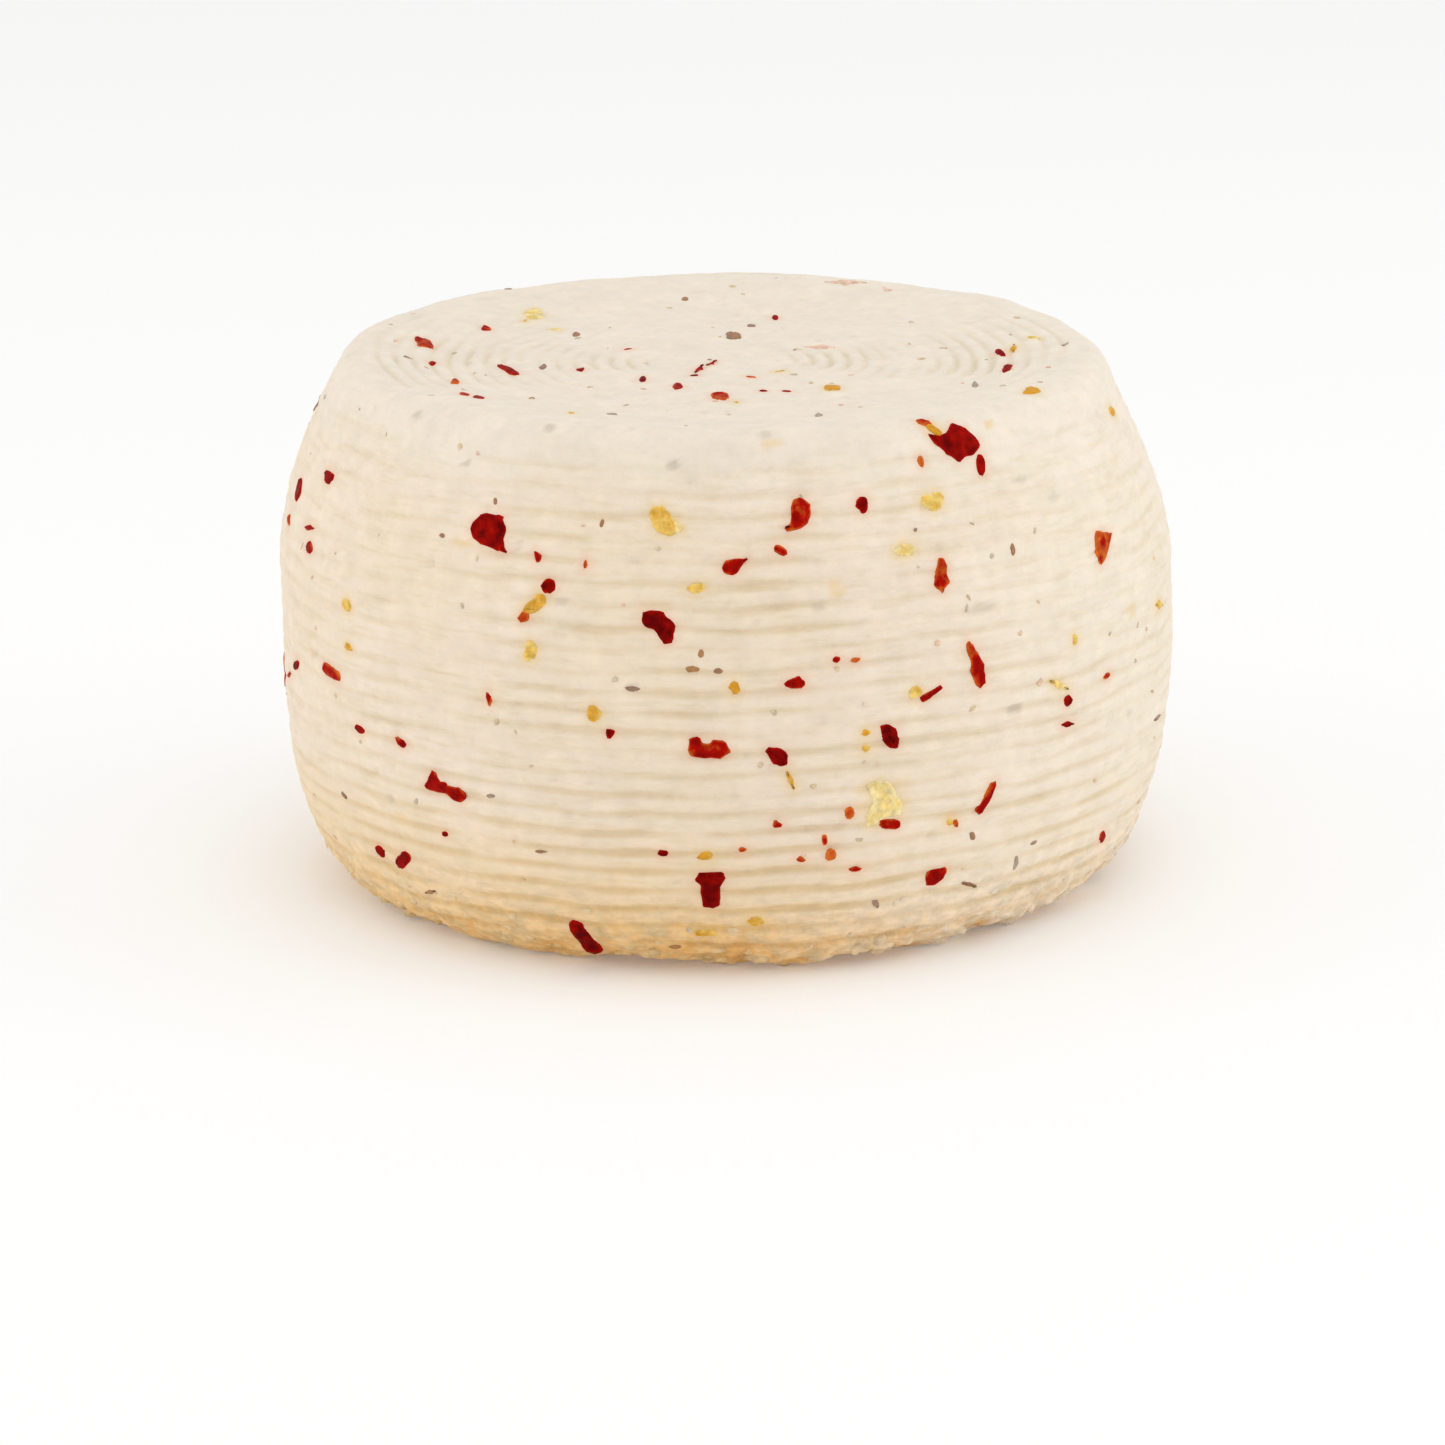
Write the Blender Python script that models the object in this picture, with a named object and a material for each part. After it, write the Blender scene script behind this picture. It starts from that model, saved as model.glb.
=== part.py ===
# A whole small wheel of fresh pecorino with chilli flakes, pressed in a ribbed basket: one solid.
# Metres, +Z up, origin at the centre of the face it rests on. Azimuth 0 is the front (-Y), 90 is +X.
import math
import random

import bmesh
import bpy
from mathutils import Matrix, Vector, noise

# Driving dimensions of the wheel
HEIGHT = 0.0858
BELLY_RADIUS = 0.0725
BELLY_HEIGHT = 0.0529
BASE_RADIUS = 0.0556
SHOULDER_TAPER = 0.0117
SHOULDER_ROUNDING = 0.0024
TOP_RADIUS = 0.0589
TOP_SLOPE = -0.0141

# The top face is dished a little inside its rim
DISH_DEPTH = 0.0020
DISH_INNER_RADIUS = 0.0380
DISH_OUTER_RADIUS = 0.0575

# Roundness of the flank below and above the belly
LOWER_FULLNESS = 2.71
LOWER_ROUNDING = 0.40
UPPER_FULLNESS = 1.64

# Marks of the basket: ribs round the flank, rings on the top face
RIB_PITCH = 0.00325
RIB_DEPTH = 0.0005
FIRST_GROOVE_HEIGHT = 0.0019
RIB_COUNT = 25
OUTER_RING_RADIUS = 0.0555
RING_PITCH = 0.0029
RING_DEPTH = 0.0004
RING_COUNT = 12

# Unevenness of a hand-turned cheese: a wave has its lobes round the wheel, its rise to a radian, its phase
RIB_WANDER = 0.0006
RIB_WANDER_PHASE = 0.09
LEVEL_MARGIN = 0.008
SWELL = 0.0003
SWELL_WAVES = ((4, 0.020, 0.6), (7, -0.013, 0.0))
TOP_SWELL = 0.0002
TOP_SWELL_WAVE = (5, 0.010, 0.0)
CRUMBLE_DEPTH = 0.0012
CRUMBLE_HEIGHT = 0.008
CRUMBLE_SIZE = 0.005

SEGMENTS = 56
SHOULDER_STEPS = 3
BOTTOM_RINGS = (0.028, BASE_RADIUS)
BASE_EDGE_HEIGHTS = (0.0002, 0.0009)
TINY = 1e-6

# Flakes are slabs sunk in the paste, with their faces just proud of it
FLAKE_SIDES = 7
FLAKE_SUNK = 0.0010
FLAKE_PROUD = 0.0003
FLAKE_SEED = 11
FLAKE_BEVEL = 0.86
GOLDEN = 0.618034

# Front flakes: azimuth and lean in degrees, then height, length and width in millimetres
RED_FRONT = [
    (-77, -5, 65.8, 5.5, 3.0), (-66.4, 0, 70.9, 4.4, 2.2), (-59.1, -5, 42.2, 5.0, 2.6),
    (-50.2, 35, 13.8, 4.4, 2.8), (-38, -20, 28.4, 8.0, 3.4), (-31.6, -35, 69.9, 6.5, 5.2),
    (-21, -72, 6.7, 7.0, 3.4), (-8.2, -50, 58.1, 5.4, 3.2), (-2.4, 0, 39.4, 5.2, 2.6),
    (-2.8, 88, 15.8, 5.6, 3.2), (1, 25, 67.4, 4.0, 2.6), (6.6, -55, 37.8, 3.0, 2.4),
    (9.4, 65, 74.4, 5.2, 3.4), (18.4, 10, 75.3, 2.4, 2.2), (20.7, -65, 39.6, 4.0, 3.0),
    (20.6, -10, 25.3, 3.2, 1.8), (25.8, 20, 45.6, 3.6, 1.8), (28.4, 83, 63.5, 5.4, 2.4),
    (27.7, 25, 14.9, 4.0, 2.8), (31.9, -78, 49.0, 7.6, 2.2), (34.9, -28, 81.0, 8.0, 4.2),
    (34.7, 65, 27.0, 5.4, 2.2), (47.9, 10, 39.4, 2.6, 2.2), (56.1, 60, 62.8, 5.8, 4.6),
]
YELLOW_FRONT = [
    (-24.4, 60, 60.4, 4.6, 2.8), (-24.3, 80, 53.0, 3.4, 2.0), (-16.4, 60, 44.4, 2.8, 2.4),
    (-8.1, -25, 73.8, 4.6, 4.0), (28.6, 5, 74.4, 3.6, 2.4),
]
# Top flakes: azimuth and lean in degrees, then distance from the axis, length and width in millimetres
RED_TOP = [
    (-100, 90, 49.0, 3.6, 2.6), (-79, -20, 35.0, 4.4, 3.2), (-51, -10, 50.0, 3.6, 2.6),
    (-20, 90, 20.1, 3.0, 2.0), (0, 0, 26.2, 3.2, 3.0), (80, 90, 46.7, 3.0, 2.0),
    (-143, 20, 54.0, 3.0, 2.0), (158, 10, 43.0, 4.0, 2.2),
]
YELLOW_TOP = [(-137, 90, 46.0, 4.2, 3.4), (40, 90, 27.1, 3.0, 2.6)]
# Back flakes: azimuths in degrees, heights and lengths in millimetres
BACK_FLAKES = 14
BACK_START = 84
BACK_SPAN = 196
BACK_LOWEST = 12
BACK_RISE = 66
BACK_LENGTHS = (3.0, 7.5)


def flank_radius(height):
    """Radius of the flank: full and quickly rounded below the belly, tapering to the shoulder above it."""
    if height < BELLY_HEIGHT:
        down = 1 - height / BELLY_HEIGHT
        fullness = (1 - down ** LOWER_FULLNESS) ** LOWER_ROUNDING
        return BASE_RADIUS + (BELLY_RADIUS - BASE_RADIUS) * fullness
    up = (height - BELLY_HEIGHT) / (HEIGHT - BELLY_HEIGHT)
    return BELLY_RADIUS - SHOULDER_TAPER * up ** UPPER_FULLNESS


def flank_rows():
    """Two rows to a rib: the bottom of its groove and the middle of its band."""
    rows = []
    for rib in range(RIB_COUNT):
        groove = FIRST_GROOVE_HEIGHT + rib * RIB_PITCH
        rows.append((flank_radius(groove) - RIB_DEPTH, groove))
        band = groove + RIB_PITCH / 2
        rows.append((flank_radius(band), band))
    return rows


def shoulder_rows():
    """A quadratic arc from the flank to the top face, tangent to both."""
    start_height = HEIGHT - SHOULDER_ROUNDING
    start = Vector((flank_radius(start_height), start_height))
    corner = Vector((flank_radius(HEIGHT), HEIGHT))
    end = Vector((TOP_RADIUS, HEIGHT))
    rows = []
    for step in range(1, SHOULDER_STEPS + 1):
        part = step / SHOULDER_STEPS
        point = start.lerp(corner, part).lerp(corner.lerp(end, part), part)
        rows.append((point.x, point.y))
    return rows


def dish(radius):
    """Depth of the dished top face below its rim."""
    part = (radius - DISH_INNER_RADIUS) / (DISH_OUTER_RADIUS - DISH_INNER_RADIUS)
    part = min(1.0, max(0.0, part))
    return DISH_DEPTH * (1 - part * part * (3 - 2 * part))


def top_rows():
    """Concentric rings: a groove, then a crest, from the rim towards the axis."""
    rows = [(OUTER_RING_RADIUS + RING_PITCH / 2, HEIGHT)]
    for ring in range(RING_COUNT):
        groove = OUTER_RING_RADIUS - ring * RING_PITCH
        crest = groove - RING_PITCH / 2
        rows.append((groove, HEIGHT - dish(groove) - RING_DEPTH))
        rows.append((crest, HEIGHT - dish(crest)))
    return rows


def rib_wander(azimuth):
    """How far the ribs stray up or down from their level."""
    return RIB_WANDER * math.cos(2 * (azimuth - RIB_WANDER_PHASE))


def slope_factor(x):
    """The wheel is a little lower on its right side than on its left."""
    return 1 + TOP_SLOPE * x / HEIGHT


def wave(azimuth, distance, lobes, rise, phase):
    return math.sin(lobes * azimuth + distance / rise + phase)


def swell(azimuth, height):
    """Slow bulges and hollows of the flank."""
    return SWELL * sum(wave(azimuth, height, *shape) for shape in SWELL_WAVES)


def top_swell(azimuth, radius):
    """Slow rises and dips of the top face, none at its centre."""
    return TOP_SWELL * wave(azimuth, radius, *TOP_SWELL_WAVE) * min(1.0, radius / TOP_RADIUS)


def crumble(place):
    """Lumps and nicks of the base edge, fading out up the flank."""
    fade = max(0.0, 1 - place.z / CRUMBLE_HEIGHT)
    return CRUMBLE_DEPTH * fade * noise.noise(place / CRUMBLE_SIZE)


def add_unevenness(bm):
    """Move the turned surface off its exact circles, leaving the resting face flat."""
    for vert in bm.verts:
        place = vert.co.copy()
        radius = math.hypot(place.x, place.y)
        if place.z < TINY or radius < TINY:
            continue
        azimuth = math.atan2(place.x, -place.y)
        share = min(1.0, radius / TOP_RADIUS)
        grown = radius + swell(azimuth, place.z) * share + crumble(place)
        vert.co.x *= grown / radius
        vert.co.y *= grown / radius
        on_top = radius < TOP_RADIUS - TINY and place.z > BELLY_HEIGHT
        if on_top or place.z > HEIGHT - SHOULDER_ROUNDING:
            vert.co.z += top_swell(azimuth, radius)
        else:
            fade = min(1.0, place.z / LEVEL_MARGIN, (HEIGHT - place.z) / LEVEL_MARGIN)
            vert.co.z += rib_wander(azimuth) * fade
        vert.co.z *= slope_factor(vert.co.x)


def turned_wheel():
    """The wheel's profile spun round its axis."""
    rows = [(0.0, 0.0)]
    rows += [(radius, 0.0) for radius in BOTTOM_RINGS]
    rows += [(flank_radius(height), height) for height in BASE_EDGE_HEIGHTS]
    rows += flank_rows() + shoulder_rows() + top_rows()
    rows += [(0.0, HEIGHT - dish(0.0))]
    bm = bmesh.new()
    verts = [bm.verts.new((0.0, -radius, height)) for radius, height in rows]
    edges = [bm.edges.new(pair) for pair in zip(verts, verts[1:])]
    bmesh.ops.spin(bm, geom=verts + edges, axis=(0, 0, 1), cent=(0, 0, 0), angle=math.tau,
                   steps=SEGMENTS, use_merge=True)
    bmesh.ops.remove_doubles(bm, verts=bm.verts[:], dist=TINY)
    add_unevenness(bm)
    bmesh.ops.recalc_face_normals(bm, faces=bm.faces[:])
    return bm


def flank_frame(azimuth, height):
    """A place on the flank: centre, direction round it, direction up it, and outward normal."""
    slope = (flank_radius(height + 0.0005) - flank_radius(height - 0.0005)) / 0.001
    outward = Vector((math.sin(azimuth), -math.cos(azimuth), 0.0))
    normal = (outward - Vector((0, 0, slope))).normalized()
    around = Vector((math.cos(azimuth), math.sin(azimuth), 0.0))
    centre = outward * (flank_radius(height) + swell(azimuth, height))
    centre.z = height * slope_factor(centre.x)
    return centre, around, normal.cross(around), normal


def top_frame(azimuth, radius):
    """A place on the top face."""
    centre = Vector((math.sin(azimuth) * radius, -math.cos(azimuth) * radius, 0.0))
    centre.z = (HEIGHT - dish(radius) + top_swell(azimuth, radius)) * slope_factor(centre.x)
    return centre, Vector((1, 0, 0)), Vector((0, 1, 0)), Vector((0, 0, 1))


def add_flake(name, frame, lean, length, width, material, draw, collection):
    """One irregular slab, its long side leaning from level."""
    centre, around, upward, normal = frame
    bm = bmesh.new()
    depth = FLAKE_SUNK + FLAKE_PROUD
    bmesh.ops.create_cone(bm, cap_ends=True, segments=FLAKE_SIDES, radius1=0.5, radius2=0.5 * FLAKE_BEVEL,
                          depth=depth)
    bm.verts.ensure_lookup_table()
    reach = [draw.uniform(0.80, 1.12) for _ in range(FLAKE_SIDES)]
    for vert in bm.verts:
        corner = round(math.atan2(vert.co.y, vert.co.x) / math.tau * FLAKE_SIDES) % FLAKE_SIDES
        vert.co.x *= reach[corner] * length
        vert.co.y *= reach[corner] * width
        vert.co.z += (FLAKE_PROUD - FLAKE_SUNK) / 2
    along = around * math.cos(lean) + upward * math.sin(lean)
    across = normal.cross(along)
    turn = Matrix((along, across, normal)).transposed().to_4x4()
    bmesh.ops.transform(bm, matrix=Matrix.Translation(centre) @ turn, verts=bm.verts[:])
    mesh = bpy.data.meshes.new(name)
    bm.to_mesh(mesh)
    bm.free()
    mesh.materials.append(material)
    collection.objects.link(bpy.data.objects.new(name, mesh))


def back_flakes(draw):
    """Flakes of the far half, spread evenly and drawn like the front ones."""
    for index in range(BACK_FLAKES):
        azimuth = BACK_START + BACK_SPAN * (index + 0.5) / BACK_FLAKES
        height = BACK_LOWEST + BACK_RISE * ((index * GOLDEN + 0.3) % 1.0)
        length = draw.uniform(*BACK_LENGTHS)
        yield azimuth, draw.uniform(-90, 90), height, length, length * draw.uniform(0.4, 0.85)


def add_flakes(collection, red, yellow):
    """All the flakes that show from a step away."""
    draw = random.Random(FLAKE_SEED)
    flank = [(row, red) for row in RED_FRONT] + [(row, yellow) for row in YELLOW_FRONT]
    for index, row in enumerate(back_flakes(draw)):
        flank.append((row, yellow if index % 5 == 3 else red))
    for index, ((azimuth, lean, height, length, width), material) in enumerate(flank):
        frame = flank_frame(math.radians(azimuth), height / 1000)
        add_flake(f"flank_flake_{index}", frame, math.radians(lean), length / 1000, width / 1000,
                  material, draw, collection)
    top = [(row, red) for row in RED_TOP] + [(row, yellow) for row in YELLOW_TOP]
    for index, ((azimuth, lean, radius, length, width), material) in enumerate(top):
        frame = top_frame(math.radians(azimuth), radius / 1000)
        add_flake(f"top_flake_{index}", frame, math.radians(lean), length / 1000, width / 1000,
                  material, draw, collection)


def new_material(name, color, roughness):
    material = bpy.data.materials.new(name)
    material.use_nodes = True
    shader = material.node_tree.nodes["Principled BSDF"]
    shader.inputs["Base Color"].default_value = (*color, 1.0)
    shader.inputs["Roughness"].default_value = roughness
    shader.inputs["Metallic"].default_value = 0.0
    material.diffuse_color = (*color, 1.0)
    return material


def join_flakes(wheel, collection):
    """One union of the wheel with every flake, applied, and the loose flakes removed."""
    union = wheel.modifiers.new("join flakes", "BOOLEAN")
    union.operation = "UNION"
    union.operand_type = "COLLECTION"
    union.collection = collection
    union.solver = "EXACT"
    union.material_mode = "TRANSFER"
    evaluated = wheel.evaluated_get(bpy.context.evaluated_depsgraph_get())
    joined = bpy.data.meshes.new_from_object(evaluated)
    plain = wheel.data
    wheel.modifiers.clear()
    wheel.data = joined
    bpy.data.meshes.remove(plain)
    for flake in list(collection.objects):
        mesh = flake.data
        bpy.data.objects.remove(flake)
        bpy.data.meshes.remove(mesh)
    bpy.data.collections.remove(collection)
    joined.name = "cheese_wheel"


def centre_over_origin(mesh):
    """The wheel's box stands centred on the origin."""
    for axis in (0, 1):
        reach = [vert.co[axis] for vert in mesh.vertices]
        shift = (max(reach) + min(reach)) / 2
        for vert in mesh.vertices:
            vert.co[axis] -= shift


def build_part():
    for old in list(bpy.data.objects):
        bpy.data.objects.remove(old)
    paste = new_material("pecorino_paste", (0.84, 0.74, 0.60), 0.55)
    red = new_material("red_chilli", (0.33, 0.02, 0.015), 0.45)
    yellow = new_material("yellow_chilli", (0.72, 0.45, 0.06), 0.5)

    bm = turned_wheel()
    mesh = bpy.data.meshes.new("cheese_wheel")
    bm.to_mesh(mesh)
    bm.free()
    mesh.materials.append(paste)
    wheel = bpy.data.objects.new("cheese_wheel", mesh)
    bpy.context.scene.collection.objects.link(wheel)

    flakes = bpy.data.collections.new("loose_flakes")
    bpy.context.scene.collection.children.link(flakes)
    add_flakes(flakes, red, yellow)
    join_flakes(wheel, flakes)
    centre_over_origin(wheel.data)
    wheel.data.shade_smooth()
    wheel.data.set_sharp_from_angle(angle=math.radians(50))


build_part()
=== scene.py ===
import math
import random

import bmesh
import bpy
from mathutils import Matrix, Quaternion, Vector, kdtree, noise


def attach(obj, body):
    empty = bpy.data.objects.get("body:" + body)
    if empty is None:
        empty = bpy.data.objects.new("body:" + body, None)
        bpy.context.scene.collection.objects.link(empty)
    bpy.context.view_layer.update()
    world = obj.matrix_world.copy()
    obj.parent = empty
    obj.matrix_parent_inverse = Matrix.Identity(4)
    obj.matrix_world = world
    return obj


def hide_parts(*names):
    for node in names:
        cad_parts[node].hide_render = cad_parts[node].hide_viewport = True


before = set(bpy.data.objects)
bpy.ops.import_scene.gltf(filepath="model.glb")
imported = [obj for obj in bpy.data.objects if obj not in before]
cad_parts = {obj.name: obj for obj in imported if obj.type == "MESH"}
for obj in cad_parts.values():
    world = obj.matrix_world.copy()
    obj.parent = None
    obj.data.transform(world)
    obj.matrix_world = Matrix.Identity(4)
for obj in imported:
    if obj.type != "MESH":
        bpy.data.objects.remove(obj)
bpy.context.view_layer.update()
print("frame loaded")

# azimuth 0 is the front of the wheel (-Y) and 90 its right side (+X); sizes are in metres
wheel = {
    "height": 0.0858,
    "bellyRadius": 0.0725,
    "bellyHeight": 0.0529,
    "baseRadius": 0.0556,
    "shoulderTaper": 0.0117,
    "shoulderRounding": 0.0024,
    "shoulderSteps": 8,
    "topRadius": 0.0589,
    "topSlope": -0.0141,  # the right side is a little lower
    "lowerFullness": 2.71,
    "lowerRounding": 0.40,
    "upperFullness": 1.64,
    "baseLift": 0.00015,  # clearance of the paste above its lowest flakes
    "steps": 380,
    "frontFineness": 0.22,  # how much closer the turned steps stand at the front than at the back
}

dish = {"depth": 0.0020, "inner": 0.0380, "outer": 0.0575}

swells = {"flank": 0.0003, "top": 0.0002}

ribs = {
    "pitch": 0.00325,
    "depth": 0.00047,
    "firstGroove": 0.0019,
    "count": 25,
    "rows": 6,
    "wander": 0.0006,
    "wanderPhase": 0.09,
    "ripple": 0.00010,
    "sharpness": 2.1,  # a higher value makes the grooves narrower
    "drift": 0.25,  # how far, in ribs, a groove strays up or down
    "driftSize": 0.014,
    "unevenness": 1.05,
    "unevenSize": 0.012,
    "leftWeakness": 0.55,
    "rightWeakness": 0.48,
    "faintPatches": (  # azimuth and spread in degrees, heights between which it sets in, share lost
        (-42, 16, 0.042, 0.058, 0.25), (48, 22, 0.040, 0.062, 0.45),
    ),
    "levelMargin": 0.008,
    "fadeFrom": 0.077,
    "fadeTo": 0.085,
    "seams": (-42, -28, 8, 38),  # azimuths of upright marks of the basket on the upper flank
    "seamDepth": 0.00022,
    "seamWidth": 0.8,  # in degrees, to either side
    "seamFrom": 0.058,
    "seamTo": 0.0845,
}

rings = {
    "outer": 0.0555,
    "pitch": 0.0029,
    "depth": 0.00048,
    "topRows": 3,
    "baseRows": 1,
}

curd = {
    "soft": 0.00020,
    "softSize": 0.0062,
    "fine": 0.00009,
    "fineSize": 0.0026,
    "pit": 0.0011,
    "pitSize": 0.0019,
    "pitFrom": 0.36,  # a higher value leaves fewer pits
    "rim": 0.0007,  # unevenness of the rim of the upper face
    "rimSize": 0.015,
    "thread": 0.00012,  # fine marks of the basket that run along the ribs
    "threadSize": 0.0080,
    "threadFlatness": 7.0,
    "baseRough": 0.0003,
    "baseRoughSize": 0.005,
}

crumbs = {
    "height": 0.011,
    "depth": 0.0017,
    "size": 0.0044,
    "fineSize": 0.0020,
    "breakHeight": 0.0065,
    "breakDepth": 0.0045,
    "breakSize": 0.0062,
    "breakFrom": 0.14,  # a higher value leaves fewer broken places
    "notches": (  # azimuth and half width in degrees, depth
        (-15.0, 5.0, 0.0052), (-11.5, 2.2, 0.0024), (17.5, 3.6, 0.0044), (24.0, 4.5, 0.0022),
        (43, 2.0, 0.0022), (56, 4.0, 0.0020), (-150, 4.0, 0.0040), (110, 5.0, 0.0030),
    ),
    "notchFrom": 0.0006,  # below this height a notch has its full depth
    "notchTo": 0.0024,
    "edgeRows": (0.0002, 0.0005, 0.0009, 0.0014),
    "baseMargin": 0.0006,  # how far the base ends inside the lowest edge row
    "hollowDepth": 0.0015,  # a hollow this deep has its full colour
    "lumps": 460,
    "lumpSizes": (0.0010, 0.0030),
    "lumpHeight": 0.0115,
    "clearance": 0.0016,  # from the outline of a flake
    "flakeHeight": 0.016,  # flakes below this height are kept clear
}


def smoothShare(value, start, end):
    part = min(1.0, max(0.0, (value - start) / (end - start)))
    return part * part * (3 - 2 * part)


# the flank's plain profile: quickly rounded below the belly, tapered above it
def flankRadius(height):
    if height < wheel["bellyHeight"]:
        down = 1 - max(0.0, height) / wheel["bellyHeight"]
        fullness = (1 - down ** wheel["lowerFullness"]) ** wheel["lowerRounding"]
        return wheel["baseRadius"] + (wheel["bellyRadius"] - wheel["baseRadius"]) * fullness
    up = (height - wheel["bellyHeight"]) / (wheel["height"] - wheel["bellyHeight"])
    return wheel["bellyRadius"] - wheel["shoulderTaper"] * up ** wheel["upperFullness"]


shoulderStart = Vector((flankRadius(wheel["height"] - wheel["shoulderRounding"]),
                        wheel["height"] - wheel["shoulderRounding"]))
shoulderCorner = Vector((flankRadius(wheel["height"]), wheel["height"]))
shoulderEnd = Vector((wheel["topRadius"], wheel["height"]))


def shoulderPoint(part):
    return shoulderStart.lerp(shoulderCorner, part).lerp(shoulderCorner.lerp(shoulderEnd, part), part)


def outerRadius(height):
    if height <= shoulderStart.y:
        return flankRadius(height)
    share = min(1.0, (height - shoulderStart.y) / wheel["shoulderRounding"])
    return shoulderPoint(1 - math.sqrt(1 - share)).x


def topLevel(radius):  # the upper face is dished inside its rim and bends down over the shoulder
    if radius <= wheel["topRadius"]:
        return wheel["height"] - dish["depth"] * (1 - smoothShare(radius, dish["inner"], dish["outer"]))
    low, high = 0.0, 1.0
    for _ in range(20):
        middle = (low + high) / 2
        if shoulderPoint(middle).x > radius:
            low = middle
        else:
            high = middle
    return shoulderPoint(low).y


def slopeFactor(x):
    return 1 + wheel["topSlope"] * x / wheel["height"]


# slow bulges and hollows: the waves of the solid, faded out near the shoulder
def flankSwell(azimuth, height):
    swell = math.sin(4 * azimuth + height / 0.02 + 0.6) + math.sin(7 * azimuth - height / 0.013)
    return swells["flank"] * swell * (1 - smoothShare(height, 0.074, wheel["height"]))


def topSwell(azimuth, radius):
    swell = math.sin(5 * azimuth + radius / 0.01) * min(1.0, radius / wheel["topRadius"])
    return swells["top"] * swell * (1 - smoothShare(radius, 0.048, wheel["topRadius"]))


def ribWander(azimuth, height):
    slow = ribs["wander"] * math.cos(2 * (azimuth - ribs["wanderPhase"]))
    ripple = ribs["ripple"] * math.cos(22 * azimuth + math.pi)
    margin = ribs["levelMargin"]
    return (slow + ripple) * min(1.0, height / margin, (wheel["height"] - height) / margin)


def grooveShape(level):  # 1 at the bottom of a groove, 0 on the crest of a band
    return (0.5 + 0.5 * math.cos(math.tau * level)) ** ribs["sharpness"]


def grooveDepth(azimuth, height, place):  # how deep the groove is here, as a share of a full one
    level = (height - ribWander(azimuth, height) - ribs["firstGroove"]) / ribs["pitch"]
    level += ribs["drift"] * noise.noise(Vector((place.x, place.y, place.z * 1.5)) / ribs["driftSize"])
    uneven = noise.noise(Vector((place.x, place.y, place.z * 2.2 + 0.2)) / ribs["unevenSize"])
    strength = (0.85 + ribs["unevenness"] * uneven) * sideStrength(azimuth)
    for middle, spread, start, end, amount in ribs["faintPatches"]:
        away = (math.degrees(azimuth) - middle) / spread
        strength *= 1 - amount * math.exp(-away * away) * smoothShare(height, start, end)
    strength *= 1.12 - 0.12 * smoothShare(height, 0.020, 0.042)
    fade = 1 - smoothShare(height, ribs["fadeFrom"], ribs["fadeTo"])
    fade *= 0.35 + 0.65 * smoothShare(height, 0.001, 0.007)
    return grooveShape(level) * min(1.45, max(0.12, strength)) * fade


def sideStrength(azimuth):  # the basket marked the sides less deeply, the left one least
    side = math.sin(azimuth)
    return 1 - ribs["leftWeakness" if side < 0 else "rightWeakness"] * side * side


def flankPlace(azimuth, height):
    radius = outerRadius(height)
    return Vector((radius * math.sin(azimuth), -radius * math.cos(azimuth), height))


def curdRelief(place):
    soft = curd["soft"] * noise.noise(place / curd["softSize"])
    soft += curd["fine"] * noise.noise(place / curd["fineSize"])
    pitted = max(0.0, noise.noise(place / curd["pitSize"] + Vector((7, 3, 1))) - curd["pitFrom"])
    rim = smoothShare(place.z, 0.070, 0.084) * smoothShare(math.hypot(place.x, place.y), 0.046, 0.057)
    rim *= curd["rim"] * noise.noise(place / curd["rimSize"] + Vector((2, 9, 4)))
    return soft - curd["pit"] * pitted + rim


# everything that the basket and the crumbly curd do to the flank, as a distance outwards
def flankRelief(azimuth, height):
    place = flankPlace(azimuth, height)
    relief = curdRelief(place) - ribs["depth"] * grooveDepth(azimuth, height, place)
    threads = noise.noise(Vector((place.x, place.y, place.z * curd["threadFlatness"])) / curd["threadSize"])
    threads *= sideStrength(azimuth) * (1 - smoothShare(height, 0.078, wheel["height"]))
    relief += curd["thread"] * threads
    if ribs["seamFrom"] < height < ribs["seamTo"]:
        upper = smoothShare(height, ribs["seamFrom"], 0.066)
        upper *= 1 - smoothShare(height, 0.078, ribs["seamTo"])
        for seam in ribs["seams"]:
            away = (math.degrees(azimuth) - seam + 1.2 * noise.noise(place / 0.02)) / ribs["seamWidth"]
            relief -= ribs["seamDepth"] * upper * math.exp(-away * away)
    return relief + baseCrumble(azimuth, height, place)


def baseCrumble(azimuth, height, place):
    fade = 1 - smoothShare(height, 0.0, crumbs["height"])
    if fade <= 0:
        return 0.0
    lumps = noise.noise(place / crumbs["size"]) + 0.7 * noise.noise(place / crumbs["fineSize"])
    broken = max(0.0, noise.noise(place / crumbs["breakSize"] + Vector((4, 1, 6))) - crumbs["breakFrom"])
    relief = crumbs["depth"] * fade * (lumps * 0.75 - 0.15)
    relief -= crumbs["breakDepth"] * broken * (1 - smoothShare(height, 0.001, crumbs["breakHeight"]))
    low = 1 - smoothShare(height, crumbs["notchFrom"], crumbs["notchTo"])
    for middle, width, depth in crumbs["notches"]:
        turn = (math.degrees(azimuth) - middle + 180) % 360 - 180
        relief -= depth * low * math.exp(-(turn / width) ** 2)
    return relief


def flankPoint(azimuth, height, lift=0.0, relief=1.0):
    rough = relief * flankRelief(azimuth, height)
    upturned = smoothShare(height, shoulderStart.y, wheel["height"])  # over the shoulder it acts upwards
    slope = (outerRadius(height + 0.0004) - outerRadius(height - 0.0004)) / 0.0008
    out = Vector((math.sin(azimuth), -math.cos(azimuth), 0))
    point = out * (outerRadius(height) + flankSwell(azimuth, height) + rough * (1 - upturned))
    point.z = height * slopeFactor(point.x) + rough * upturned
    return point + (out - Vector((0, 0, slope))).normalized() * lift


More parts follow.
